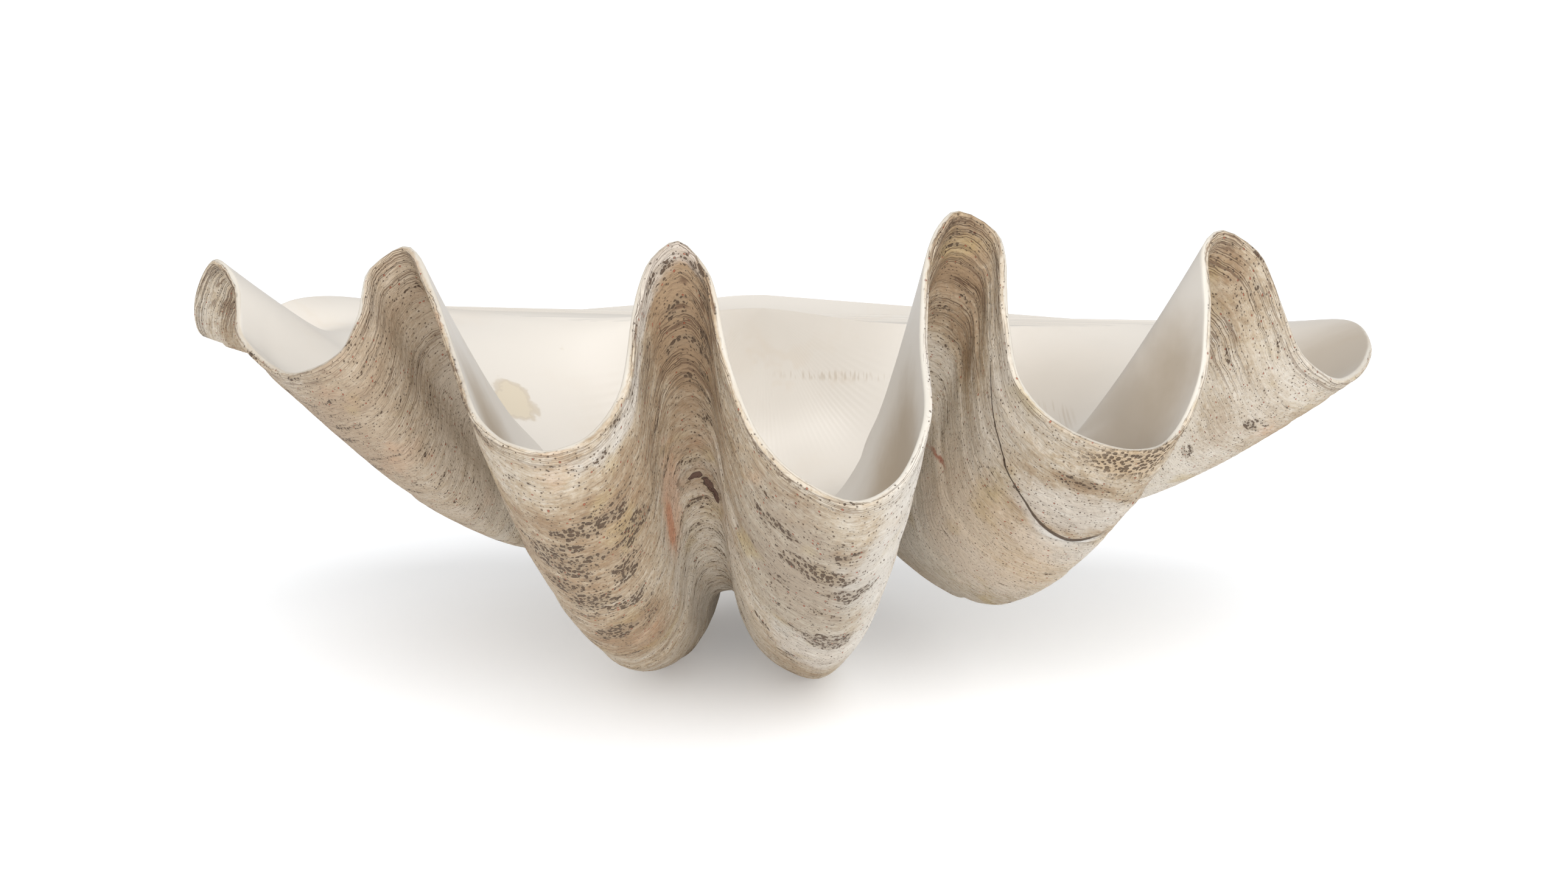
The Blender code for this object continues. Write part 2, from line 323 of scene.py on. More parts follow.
def inside_lines():
    """The inner surface from the margin down to its pole, with the ribs filled in on the way."""
    sizes = np.array((1.0,) + INNER_SIZES)
    every = np.ones(len(coarse_margin))
    lines = growth_lines(coarse_margin, coarse_even, sizes[:, None] * every)
    near = growth_lines(coarse_margin, coarse_even, np.array(YOUNGEST)[:, None] * every)
    into = inward(lines)
    into[0] = inward(near)[0]
    ends = hinge_share(coarse_margin)
    rib = 1.0 - ends
    wall = EDGE_WALL * sizes + BELLY_WALL * 4.0 * sizes * (1.0 - sizes)
    deep = ease(sizes, DEEP_STARTS, DEEP_ENDS)[:, None]
    shelf = SHELF_END + (SHELF_MIDDLE - SHELF_END) * ease(sizes, 1.0, SHELF_FULL)[:, None]
    lines = lines + into * wall[:, None, None] * rib[:, None]
    lines[:, :, 1] -= SHELF_MIDDLE * deep * rib + shelf * ends
    lines[:, :, 2] += (FLOOR_RISE * np.sin(math.pi * deep) + SHELF_HEIGHT * deep) * rib
    lines[:, :, 2] += SHELF_HEIGHT * ends
    unfilled = lines.copy()
    fill = (ease(sizes, RIB_FILL_STARTS, RIB_FILL_ENDS)[:, None] * rib)[:, 1:-1, None]
    for _ in range(RIB_FILL_ROUNDS):
        move = (lines[:, :-2] + lines[:, 2:]) / 2.0 - lines[:, 1:-1]
        filling = np.sum(move * into[:, 1:-1], axis=2, keepdims=True) > 0.0
        lines[:, 1:-1] += move * filling * fill
    even = (ease(sizes, FLOOR_EVEN_STARTS, FLOOR_EVEN_ENDS)[:, None] * rib)[:, 1:-1, None]
    for _ in range(FLOOR_EVEN_ROUNDS):
        lines[:, 1:-1] += ((lines[:, :-2] + lines[:, 2:]) / 2.0 - lines[:, 1:-1]) * even
        risen = np.sum((lines - unfilled) * into, axis=2)
        lowest = MOST_LOWERED * wall[:, None] + DEEP_LOWERED * deep
        lines -= into * np.minimum(risen + lowest, 0.0)[:, :, None]
    for _ in range(LAST_EVEN_ROUNDS):
        lines[:, 1:-1] += ((lines[:, :-2] + lines[:, 2:]) / 2.0 - lines[:, 1:-1]) * even
    lines = np.concatenate([lines, np.tile(pole, (1, len(coarse_margin), 1))])
    at = np.concatenate([np.linspace(*run, endpoint=False) for run in INNER_ROWS])
    columns = between(lines.transpose(1, 0, 2), column_at)
    return between(columns.transpose(1, 0, 2), at), np.interp(at, np.arange(len(sizes)), sizes)


# The hinge at the back: a thick straight edge with a low hump by the beak. Its ends rise to the
# shelf of the hinge over the last part of their length.
HUMP_HEIGHT = 0.012
HUMP_X = -0.026
HUMP_WIDTH = 0.075
HUMP_REACH = 0.045
CORNER_SHARE = 0.1
HINGE_WHITE = 0.02


def hump(rows):
    """Lift the surface by the beak, the most on the hinge line and its shelf."""
    in_front = np.maximum(beak[1] - SHELF_MIDDLE - rows[..., 1], 0.0)
    off_hinge = np.hypot(in_front, rows[..., 2] - beak[2])
    along = np.exp(-(((rows[..., 0] - HUMP_X) / HUMP_WIDTH) ** 2))
    lifted = rows.copy()
    lifted[..., 2] += HUMP_HEIGHT * along * np.exp(-((off_hinge / HUMP_REACH) ** 2))
    return lifted


def shell_rows():
    """The sheet from the beak up the outside, over the margin and down the inside, with its sizes."""
    outside, outer_sizes = outside_lines()
    inside, inner_sizes = inside_lines()
    growing = unit(margin - growth_line(margin, beak, np.full(len(margin), YOUNGEST[1])))
    rise = EDGE_ROUND * (1.0 - share)[:, None]
    edge = [outside[0] + (inside[0] - outside[0]) * part + growing * rise * high
            for part, high in EDGE_LINES]
    columns = len(margin)
    rows = np.concatenate([
        np.tile(beak, (1, columns, 1)), outside[::-1], edge, inside, np.tile(pole, (1, columns, 1))])
    sizes = np.concatenate([
        np.full((1, columns), SMALLEST), outer_sizes[::-1], np.ones((len(edge), columns)),
        np.tile(inner_sizes[:, None], (1, columns)), np.full((1, columns), SMALLEST)])
    rim = len(outside)
    ends = rows[:, [0, -1]].copy()
    to_end = np.abs(ends[:rim + 1, :, 0] - beak[0]) / np.abs(margin[[0, -1], 0] - beak[0])
    ends[:rim + 1, :, 2] += SHELF_HEIGHT * ease(to_end, 1.0, 1.0 - CORNER_SHARE)
    rows = np.concatenate([ends[:, :1], rows, ends[:, 1:]], axis=1)
    sizes = np.concatenate([sizes[:, :1], sizes, sizes[:, -1:]], axis=1)
    return hump(rows), sizes, rim


rows, sizes, rim_row = shell_rows()
steps = np.linalg.norm(np.diff(rows, axis=0), axis=2)
travelled = np.concatenate([np.zeros((1, rows.shape[1])), np.cumsum(steps, axis=0)])
past_rim = travelled - travelled[rim_row]
past_rim[:rim_row + 1, [0, 1, -2, -1]] = HINGE_WHITE
margin_steps = np.linalg.norm(np.diff(rows[rim_row], axis=0), axis=1)
along_rim = np.concatenate([[0.0], np.cumsum(margin_steps)])
fold = np.concatenate([[0.0], margin[:, 2] - even_margin[:, 2], [0.0]])

# One closed skin: the grid is bent to the rows, closed along the hinge, and worn flat in the two
# places that it stands on. Each point keeps where it lies on the margin, how old it is, how far it
# is past the rim (below 0 outside) and whether it is on a crest or in a rib.
SHARP_ANGLE = math.radians(60)
HINGE_SHARP_ANGLE = math.radians(25)
WELD = 0.00001

last_row, last_column = rows.shape[0] - 1, rows.shape[1] - 1
shape = bmesh.new()
bmesh.ops.create_grid(shape, x_segments=last_column, y_segments=last_row, size=1.0)
kept = {name: shape.verts.layers.float.new(name) for name in ("along", "age", "past_rim", "fold", "hinge")}
for vertex in shape.verts:
    column = round((vertex.co.x + 1.0) / 2.0 * last_column)
    row = round((vertex.co.y + 1.0) / 2.0 * last_row)
    vertex.co = rows[row, column]
    vertex[kept["along"]] = along_rim[column]
    vertex[kept["age"]] = -math.log(sizes[row, column])
    vertex[kept["past_rim"]] = past_rim[row, column]
    vertex[kept["fold"]] = fold[column]
    vertex[kept["hinge"]] = float(column in (0, last_column))
bmesh.ops.remove_doubles(shape, verts=shape.verts[:], dist=WELD)
hinge_edges = [edge for edge in shape.edges if edge.is_boundary]
bmesh.ops.holes_fill(shape, edges=hinge_edges, sides=0)
bmesh.ops.triangulate(shape, faces=shape.faces[:])
bmesh.ops.recalc_face_normals(shape, faces=shape.faces[:])
everything = shape.verts[:] + shape.edges[:] + shape.faces[:]
bmesh.ops.bisect_plane(
    shape, geom=everything, dist=WELD, plane_co=(0, 0, 0), plane_no=(0, 0, -1), clear_outer=True)
cut_edges = [edge for edge in shape.edges if edge.is_boundary]
bmesh.ops.holes_fill(shape, edges=cut_edges, sides=0)
bmesh.ops.triangulate(shape, faces=shape.faces[:])
bmesh.ops.recalc_face_normals(shape, faces=shape.faces[:])
hinge_front = beak[1] - SHELF_MIDDLE - SHELF_END
for edge in shape.edges:
    on_hinge = all(vertex.co.y > hinge_front for vertex in edge.verts)
    edge.smooth = edge.calc_face_angle(0.0) < (HINGE_SHARP_ANGLE if on_hinge else SHARP_ANGLE)
for face in shape.faces:
    face.smooth = True
mesh = bpy.data.meshes.new("grown_shell")
shape.to_mesh(mesh)
shape.free()
shell = bpy.data.objects.new("grown_shell", mesh)
bpy.context.scene.collection.objects.link(shell)

# The skin: chalky grey-cream lime outside, with growth lines, bored pores and brown stains in the
# lines. The hollow is smooth cream porcelain with faint veins, and the rim between them is bare lime.
CHALK = (0.63, 0.60, 0.555, 1.0)
STONE = (0.40, 0.38, 0.33, 1.0)
DUST = (0.41, 0.325, 0.24, 1.0)
PALE = (0.57, 0.51, 0.425, 1.0)
SAND = (0.425, 0.34, 0.24, 1.0)
TAN = (0.285, 0.192, 0.112, 1.0)
LINE_BROWN = (0.120, 0.066, 0.036, 1.0)
PORE_BROWN = (0.078, 0.044, 0.023, 1.0)
CAVITY_BROWN = (0.075, 0.030, 0.018, 1.0)
BORE_BROWN = (0.235, 0.175, 0.115, 1.0)
OCHRE = (0.44, 0.33, 0.14, 1.0)
HONEY = (0.46, 0.32, 0.18, 1.0)
WARM_CREAM = (0.58, 0.43, 0.285, 1.0)
PEACH = (0.56, 0.30, 0.17, 1.0)
ORANGE = (0.46, 0.165, 0.07, 1.0)
RUST = (0.30, 0.070, 0.030, 1.0)
PORCELAIN = (0.60, 0.562, 0.510, 1.0)
POCKET_BROWN = (0.34, 0.265, 0.18, 1.0)
VEIN_GREY = (0.56, 0.48, 0.39, 1.0)
HINGE_PLATE_SHADE_GREY = (0.515, 0.487, 0.447, 1.0)
RIM_LIME = (0.55, 0.515, 0.455, 1.0)
AGE_LENGTH = 0.85
FOLD_RANGE = (-0.06, 0.07)
MARGIN_LENGTH = float(along_rim[-1])

# Where the skin of the outside ends on the rim and that of the hollow starts, in metres past the
# rim's outer edge, how much wear has moved these borders, and how much growth lines wobble.
OUTSIDE_ENDS = (0.0044, 0.0024)
INSIDE_STARTS = (0.0056, 0.0078)
RIM_WEAR = 0.006
INSIDE_WEAR = 0.4
LINE_WOBBLE = 0.012

# How brown the outside is, by how far along the margin it lies: ribs are paler than the channels
# between them. The levels are spread out afterwards, so that the palest places get below none.
BROWN_SPREAD = 1.2
BROWN_AT = (
    (0.00, 0.54), (0.27, 0.50), (0.45, 0.86), (0.56, 0.50), (0.62, 0.42), (0.74, 0.60), (0.86, 0.60),
    (0.95, 0.62), (1.01, 0.62), (1.07, 1.00), (1.13, 0.76), (1.18, 0.58), (1.25, 0.64), (1.29, 0.52),
    (1.33, 0.08), (1.38, 0.17), (1.46, 0.29), (1.55, 0.74), (1.62, 0.58), (1.68, 0.20), (1.76, 0.36),
    (1.92, 0.29), (2.01, 0.50), (2.05, 0.34), (2.13, 0.22), (2.20, 0.46), (2.30, 0.50), (2.45, 0.54),
)

# Marks that only this shell has, on the outside: how far along the margin and how far back in its
# growth each lies, and how far it reaches along and back.
BORED_PATCHES = (
    (0.885, 0.100, 0.040, 0.026), (0.899, 0.164, 0.026, 0.020), (0.903, 0.214, 0.024, 0.014),
    (0.937, 0.132, 0.022, 0.016), (0.952, 0.104, 0.020, 0.014), (0.910, 0.071, 0.040, 0.010),
    (1.264, 0.078, 0.040, 0.010), (1.308, 0.101, 0.026, 0.012), (1.289, 0.182, 0.030, 0.018),
    (1.232, 0.055, 0.030, 0.008), (2.096, 0.163, 0.012, 0.010), (2.128, 0.086, 0.016, 0.006),
    (0.800, 0.004, 0.070, 0.006), (0.876, 0.136, 0.020, 0.012), (0.929, 0.176, 0.016, 0.010),
    (0.716, 0.070, 0.020, 0.010), (1.776, 0.044, 0.022, 0.008),
)
STAINED_PATCHES = (
    (0.629, 0.015, 0.040, 0.020), (1.066, 0.053, 0.030, 0.040), (1.075, 0.090, 0.022, 0.026),
    (1.543, 0.018, 0.016, 0.010), (0.780, 0.004, 0.090, 0.010), (1.240, 0.026, 0.042, 0.028),
    (1.780, 0.046, 0.030, 0.010), (2.000, 0.020, 0.024, 0.018), (1.573, 0.040, 0.040, 0.045),
    (0.615, 0.034, 0.046, 0.026), (1.070, 0.150, 0.034, 0.036), (1.600, 0.110, 0.040, 0.040),
    (0.535, 0.024, 0.060, 0.034), (2.094, 0.124, 0.034, 0.034), (0.925, 0.240, 0.050, 0.050),
)
CHALKY_PATCHES = (
    (1.036, 0.004, 0.044, 0.016), (0.965, 0.014, 0.060, 0.012), (1.410, 0.030, 0.090, 0.050),
    (1.330, 0.090, 0.050, 0.060), (1.074, 0.002, 0.026, 0.010), (1.800, 0.150, 0.060, 0.030),
    (1.290, 0.220, 0.070, 0.055), (1.735, 0.275, 0.095, 0.055), (1.786, 0.088, 0.064, 0.032),
)
STONY_PATCH = (1.250, 0.110, 0.080, 0.110)
DUSTY_PATCH = (0.520, 0.110, 0.220, 0.220)
POROUS_EDGES = ((0.785, 0.003, 0.085, 0.008), (1.548, 0.003, 0.030, 0.007), (1.230, 0.002, 0.040, 0.004))
HONEYCOMB = (1.816, 0.012, 0.054, 0.019)
ORANGE_STREAK = (1.013, 0.205, 0.012, 0.040)
PEACH_HAZE = (1.024, 0.190, 0.034, 0.066)
WARM_PATCH = (1.735, 0.225, 0.105, 0.120)
CAVITY = (1.074, 0.205, 0.030, 0.024)
CAVITY_MOUTHS = (
    (1.084, 0.213, 0.012, 0.009, 1.8), (1.070, 0.206, 0.008, 0.006, 1.6), (1.094, 0.222, 0.006, 0.006, 1.6),
)
RING_MIDDLE = (0.107, 0.004, 0.160)
RING_RADIUS = 0.020
CRACK_FROM = 1.655
CRACK_LENGTH = 0.180
CRACK_OPENS = (1.73, 1.79)
CRACK_REACH = 0.14
CRACK_PATH = (
    (0.0, 0.23), (0.03, 0.279), (0.306, 0.49), (0.556, 0.741), (0.783, 0.898), (0.95, 0.83), (1.0, 0.79),
)

# Brown blots inside, in the pockets behind the ribs and on walls turned away from the lamp: partly real
# stains, partly painted shade. Their middles, reaches and strengths.
POCKET_STAINS_AND_SHADE = (
    ((0.080, -0.145, 0.200), 0.075, 0.95), ((0.245, -0.117, 0.225), 0.080, 0.60),
    ((-0.197, -0.145, 0.235), 0.060, 0.90), ((0.408, 0.090, 0.225), 0.120, 0.65),
    ((0.197, 0.140, 0.174), 0.110, 0.30), ((0.275, -0.130, 0.270), 0.050, 0.70),
)
YELLOW_STAIN = ((-0.2040, 0.1484, 0.1760), 0.021)

# Rows of small teeth on the back wall of the hollow: their middles, half widths and half heights.
TEETH = (((0.040, 0.2075, 0.181), 0.054, 0.005), ((0.212, 0.124, 0.176), 0.026, 0.006))
TOOTH_SCALE = (400.0, 0.0, 60.0)

# How many holes there are in a metre of the sheet, along the margin and back in its growth.
BORES = (270.0, 270.0)
PITS = (105.0, 165.0)
PRICKS = (280.0, 300.0)
CELLS = (245.0, 245.0)

# The dark lines are drawn where one set of chance values crosses these levels, this wide.
DRAWN_LEVELS = ((0.5, 0.020), (0.41, 0.018), (0.59, 0.018))
DRAWN_EDGE = 0.004

# How rough the rim is, and how much less rough the hollow and rougher the outside are.
RIM_ROUGHNESS = 0.60
HOLLOW_SMOOTHER = 0.15
OUTSIDE_ROUGHER = 0.22

# How high the swells of the skin are and how deep its marks, in metres.
BAND_SWELL = 0.0020
LINE_SWELL = 0.0010
HAIR_SWELL = 0.0006
WORN_SWELL = 0.0020
GRAIN_SWELL = 0.0008
HOLLOW_SWELL = 0.0010
RIM_LINE_DEPTH = 0.0004
BORE_DEPTH = 0.0020
PRICK_DEPTH = 0.0008
DARK_LINE_DEPTH = 0.0006
DASH_DEPTH = 0.0005
CRACK_DEPTH = 0.0016
CRACK_STEP = 0.0012
CAVITY_DEPTH = 0.002
MOUTH_DEPTH = 0.003
CELL_DEPTH = 0.0016


class Wire:
    """A socket of the material. Sums, products and the like of wires and numbers add Math nodes."""

    def __init__(self, tree, socket):
        self.tree = tree
        self.socket = socket

    def node(self, kind, settings=None, values=None, outputs=(0,)):
        """Another node: its settings are set first, then its sockets get numbers or wires."""
        made = self.tree.nodes.new(kind)
        for name, value in (settings or {}).items():
            if name == "stops":
                made.color_ramp.interpolation = "CARDINAL"
                while len(made.color_ramp.elements) < len(value):
                    made.color_ramp.elements.new(1.0)
                for element, (position, level) in zip(made.color_ramp.elements, value):
                    element.position = position
                    element.color = (level, level, level, 1.0)
            else:
                setattr(made, name, value)
        for name, value in (values or {}).items():
            if isinstance(value, Wire):
                self.tree.links.new(value.socket, made.inputs[name])
            else:
                made.inputs[name].default_value = value
        wires = [Wire(self.tree, made.outputs[output]) for output in outputs]
        return wires[0] if len(wires) == 1 else wires

    def math(self, operation, *values):
        return self.node("ShaderNodeMath", {"operation": operation}, dict(enumerate(values)))

    def __add__(self, other):
        return self.math("ADD", self, other)

    __radd__ = __add__

    def __sub__(self, other):
        return self.math("SUBTRACT", self, other)

    def __rsub__(self, other):
        return self.math("SUBTRACT", other, self)

    def __mul__(self, other):
        return self.math("MULTIPLY", self, other)

    __rmul__ = __mul__

    def step(self, low, high):
        """A smooth step from 0 at low to 1 at high."""
        return self.node(
            "ShaderNodeMapRange", {"interpolation_type": "SMOOTHSTEP"},
            {"Value": self, "From Min": low, "From Max": high, "To Min": 0.0, "To Max": 1.0})

    def size(self):
        return self.math("ABSOLUTE", self)

    def tint(self, other, share):
        """This colour with a share of the other one mixed in."""
        return mix(share, self, other)


def mix(share, one, other):
    """A colour between two colours."""
    return start.node("ShaderNodeMix", {"data_type": "RGBA"}, {0: share, 6: one, 7: other}, (2,))


def grown_value(name):
    """A value that the shell's points keep."""
    return start.node("ShaderNodeAttribute", {"attribute_name": name}, outputs=("Fac",))


skin = bpy.data.materials.new("shell_lime")
skin.use_nodes = True
surface = skin.node_tree.nodes["Principled BSDF"]
start = Wire(skin.node_tree, None)
place = start.node("ShaderNodeTexCoord", outputs=("Object",))
along = grown_value("along")
past = grown_value("past_rim")
crest = grown_value("fold").step(*FOLD_RANGE)
grown = grown_value("age") * AGE_LENGTH


def cloud(scale, detail=2.0, roughness=0.5):
    """Soft chance values over the surface, about 0.5."""
    return start.node(
        "ShaderNodeTexNoise", {}, {"Vector": place, "Scale": scale, "Detail": detail, "Roughness": roughness})


ragged = cloud(75.0, 3.0, 0.6)
worn_edge = (ragged - 0.5) * RIM_WEAR
outside = (past + worn_edge).step(*OUTSIDE_ENDS)
inside = (past + worn_edge * INSIDE_WEAR).step(*INSIDE_STARTS)

wobble = (cloud(28.0, 4.0, 0.6) - 0.5) * LINE_WOBBLE
sheet = start.node(
    "ShaderNodeCombineXYZ", {}, {"X": along, "Y": grown + wobble - past.math("MAXIMUM", past, 0.0)})


def vectors(operation, *values, output=0):
    """What a Vector Math node makes of these wires and points."""
    return start.node("ShaderNodeVectorMath", {"operation": operation}, dict(enumerate(values)), (output,))


def on_sheet(per_metre_along, per_metre_grown):
    """The rolled out sheet of growth lines, drawn larger by this much each way."""
    return vectors("MULTIPLY", sheet, (per_metre_along, per_metre_grown, 1.0))


def flat_noise(flat, detail, roughness=0.5):
    """Soft chance values over a flat sheet, about 0.5."""
    return start.node(
        "ShaderNodeTexNoise", {"noise_dimensions": "2D"},
        {"Vector": flat, "Scale": 1.0, "Detail": detail, "Roughness": roughness})


def streaks(per_metre_along, per_metre_grown, detail=2.0, roughness=0.5):
    """Chance values drawn out along the growth lines, crowded together across them."""
    return flat_noise(on_sheet(per_metre_along, per_metre_grown), detail, roughness)


def holes(per_metre_along, per_metre_grown):
    """How far each place is from the middle of its hole, and a chance value for each hole."""
    return start.node(
        "ShaderNodeTexVoronoi", {"voronoi_dimensions": "2D"},
        {"Vector": on_sheet(per_metre_along, per_metre_grown), "Scale": 1.0}, ("Distance", "Color"))


bands = streaks(6.0, 40.0, 3.0)
lines = streaks(30.0, 150.0, 3.0, 0.65)
hairs = streaks(75.0, 520.0, 2.0, 0.6)
patches = cloud(11.0, 3.0, 0.6)
grain = cloud(260.0, 2.0, 0.7)


def far_from(middle, reach, where):
    """How far each point is from the middle, where 1 is as far as the mark reaches that way."""
    scaled = vectors("MULTIPLY", vectors("SUBTRACT", where, middle), [1.0 / length for length in reach])
    return vectors("LENGTH", scaled, output="Value")


def spot(at_along, at_grown, reach_along, reach_grown, raggedness=0.9):
    """1 in the middle of a ragged patch of the sheet, and 0 outside it."""
    far = far_from((at_along, at_grown, 0.0), (reach_along, reach_grown, 1.0), sheet)
    return (far + (ragged - 0.5) * raggedness).step(1.15, 0.55)


def joined(marks):
    """One mask of several marks."""
    masks = [spot(*mark) for mark in marks]
    total = masks[0]
    for mask in masks[1:]:
        total = total.math("MAXIMUM", total, mask)
    return total


brownness = start.node(
    "ShaderNodeValToRGB", {"stops": [(at / MARGIN_LENGTH, level) for at, level in BROWN_AT]},
    {"Fac": along * (1.0 / MARGIN_LENGTH)}) * BROWN_SPREAD + (1.0 - BROWN_SPREAD)
bored_patches = joined(BORED_PATCHES)
stained = joined(STAINED_PATCHES)
honeycomb = spot(*HONEYCOMB, 0.5)
bored, bore_chance = holes(*BORES)
clusters = streaks(26.0, 95.0, 2.0, 0.6)
bore_fields = (clusters * 0.95 + patches * 0.25 + bored_patches * 0.28 + brownness * 0.16).step(0.77, 0.92)
bore_size = (bore_chance * 0.50 + 0.03) * bore_fields
bore = (bored - bore_size).step(0.05, -0.05) * bore_fields.step(0.0, 0.2)
pitted, pit_chance = holes(*PITS)
pit = (pitted - (pit_chance - 0.42) * 0.72 * bore_fields).step(0.05, -0.05) * bore_fields.step(0.1, 0.4)
bore = bore.math("MAXIMUM", bore, pit)
pricked, prick_chance = holes(*PRICKS)
prick_size = (prick_chance - 0.44) * (0.34 + patches * 0.36)
prick = (pricked - prick_size).step(0.04, -0.04)
dashed = 0.16 + brownness * 0.42 - crest * 0.16
dashes = streaks(95.0, 560.0, 1.0).step(0.62, 0.70) * (dashed + bore_fields * 0.55)

drawn = streaks(4.0, 92.0, 1.6, 0.4)
near_margin = grown.step(0.170, 0.06)
arc_fields = streaks(11.0, 34.0, 1.0).step(0.34, 0.48) * (0.12 + crest.step(0.25, 0.7) * near_margin * 0.88)
arc_fields = arc_fields * (0.45 + brownness.step(0.0, 0.55) * 0.55)
arcs = [(drawn - level).size().step(width, DRAWN_EDGE) for level, width in DRAWN_LEVELS]
dark_line = sum(arcs[1:], arcs[0]) * arc_fields

# Thin lines that run beside the rim.
beside_rim = start.node("ShaderNodeCombineXYZ", {}, {"X": along * 7.0, "Y": past * 330.0 + patches * 3.0})
rim_line = (flat_noise(beside_rim, 1.0) - 0.5).size().step(0.040, 0.010) * past.step(-0.016, -0.004)

crack_level = start.node(
    "ShaderNodeValToRGB", {"stops": CRACK_PATH}, {"Fac": (along - CRACK_FROM) * (1.0 / CRACK_LENGTH)})
past_crack = grown - crack_level * CRACK_REACH
crack_end = CRACK_FROM + CRACK_LENGTH
on_crack = along.step(CRACK_FROM, CRACK_FROM + 0.006) * along.step(crack_end, crack_end - 0.02)
open_end = along.step(*CRACK_OPENS)
crack = (past_crack.size() - open_end * 0.0012).step(0.0016, 0.0004) * on_crack
crack_shelf = past_crack.step(0.0, 0.002) * past_crack.step(0.018, 0.006) * on_crack * open_end
crack_side = past_crack.step(-0.0005, 0.0015) * past_crack.step(0.05, 0.0) * on_crack

young = grown.step(0.065, 0.0)
# Painted shade: the rib fronts are darkened in a band a little back from the young edge, where the lamp above
# lights them most.
rib_front_painted_shade = grown.step(0.015, 0.06) * grown.step(0.20, 0.11) * (1.0 - crest * 0.75)
# Painted light: the channels between the ribs are made paler the further back they run, where the folds shade
# them.
channel_painted_light = crest * grown.step(0.04, 0.18)
calm = 1.0 - crest * 0.55
tone = brownness * (1.0 - young * (0.60 - crest * 0.55)) + (bands - 0.5) * 0.70 + (patches - 0.5) * 0.80
tone = tone + ((lines - 0.5) * 0.90 + (hairs - 0.5) * 0.80) * calm
tone = tone + (ragged - 0.5) * 0.70 + (grain - 0.5) * 0.90
# Stains darken the tone, the painted shade darkens the rib fronts and the painted light pales the channels.
tone = tone + stained * 0.35 + rib_front_painted_shade * 0.34 - channel_painted_light * 0.75
outer = mix(tone.step(-0.25, 0.60), PALE, SAND)
outer = outer.tint(TAN, tone.step(0.30, 1.10))
outer = outer.tint(CHALK, brownness.step(0.22, -0.10) * 0.40)
outer = outer.tint(CHALK, joined(CHALKY_PATCHES) * 0.50)
outer = outer.tint(STONE, spot(*STONY_PATCH) * 0.40)
dusty = spot(*DUSTY_PATCH, 0.6)
outer = outer.tint(DUST, dusty * 0.50)
outer = outer.tint(OCHRE, cloud(23.0, 2.0).step(0.58, 0.76) * 0.40)
outer = outer.tint(PEACH, cloud(17.0, 3.0).step(0.62, 0.80) * 0.30)
outer = outer.tint(PEACH, spot(*PEACH_HAZE) * 0.45)
outer = outer.tint(WARM_CREAM, spot(*WARM_PATCH) * 0.45)
outer = outer.tint(ORANGE, spot(*ORANGE_STREAK, 1.2) * 0.60)
outer = outer.tint(LINE_BROWN, dark_line * 0.82)
outer = outer.tint(LINE_BROWN, rim_line * 0.50)
outer = outer.tint(LINE_BROWN, dashes * 0.60)
outer = outer.tint(BORE_BROWN, bore_fields * 0.45)
outer = outer.tint(mix(prick_chance.step(0.86, 0.87), PORE_BROWN, RUST), prick * 0.80)
outer = outer.tint(PORE_BROWN, bore * 0.88)

cavity = spot(*CAVITY, 1.6)
cavity_mouth = (joined(CAVITY_MOUTHS) + (grain - 0.5) * 1.2).step(0.40, 0.70)
outer = outer.tint(TAN, cavity * 0.6)
outer = outer.tint(CAVITY_BROWN, cavity_mouth * 0.9)
from_ring = vectors("DISTANCE", place, RING_MIDDLE, output="Value")
ring = (from_ring - RING_RADIUS + (ragged - 0.5) * 0.014).size().step(0.0028, 0.0006)
outer = outer.tint(RUST, ring * patches.step(0.38, 0.52) * 0.8)
outer = outer.tint(CHALK, crack_shelf * 0.9)
outer = outer.tint(PORE_BROWN, crack * 0.9)
cells, cell_chance = holes(*CELLS)
cell_holes = (cells - 0.16 - cell_chance * 0.30).step(0.06, -0.06) * honeycomb
outer = outer.tint(HONEY, honeycomb * 0.55)
outer = outer.tint(PORE_BROWN, cell_holes * 0.85)


def blot(middle, reach, raggedness=0.9):
    """1 in the middle of a soft round mark in the hollow, and 0 outside it."""
    far = vectors("DISTANCE", place, middle, output="Value")
    return (far * (1.0 / reach) + (soft_cloud - 0.5) * raggedness).step(1.2, 0.2)


soft_cloud = cloud(14.0, 4.0, 0.6)
vein = (cloud(6.0, 5.0, 0.6) - 0.5).size().step(0.03, 0.0) * cloud(4.0).step(0.46, 0.62)
inner = mix(vein * 0.34, PORCELAIN, VEIN_GREY)
inner = inner.tint(VEIN_GREY, soft_cloud.step(0.5, 0.8) * 0.25)
# Partly painted shade: these blots darken the pockets behind the ribs and the walls turned from the lamp, on
# top of the real stains there.
for middle, reach, strength in POCKET_STAINS_AND_SHADE:
    inner = inner.tint(POCKET_BROWN, blot(middle, reach) * strength)
yellow = (blot(*YELLOW_STAIN, 2.0) + (ragged - 0.5) * 0.9).step(0.15, 0.65)
inner = inner.tint(OCHRE, yellow * 0.38)
inner = inner.tint(POCKET_BROWN, (yellow - 0.5).size().step(0.5, 0.2) * 0.30)
upright = vectors("MULTIPLY", place, TOOTH_SCALE)
tooth = start.node(
    "ShaderNodeTexNoise", {}, {"Vector": upright, "Scale": 1.0, "Detail": 1.0}).step(0.50, 0.62)
for middle, half_width, half_height in TEETH:
    off_row = far_from(middle, (half_width, 3.0 * half_width, half_height), place)
    inner = inner.tint(POCKET_BROWN, off_row.step(1.1, 0.4) * tooth * 0.34)
# Painted shade: the hinge plate faces up and catches more light, so it is made greyer to match the wall in
# front of it.
inner = inner.tint(HINGE_PLATE_SHADE_GREY, grown_value("hinge") * 0.8)

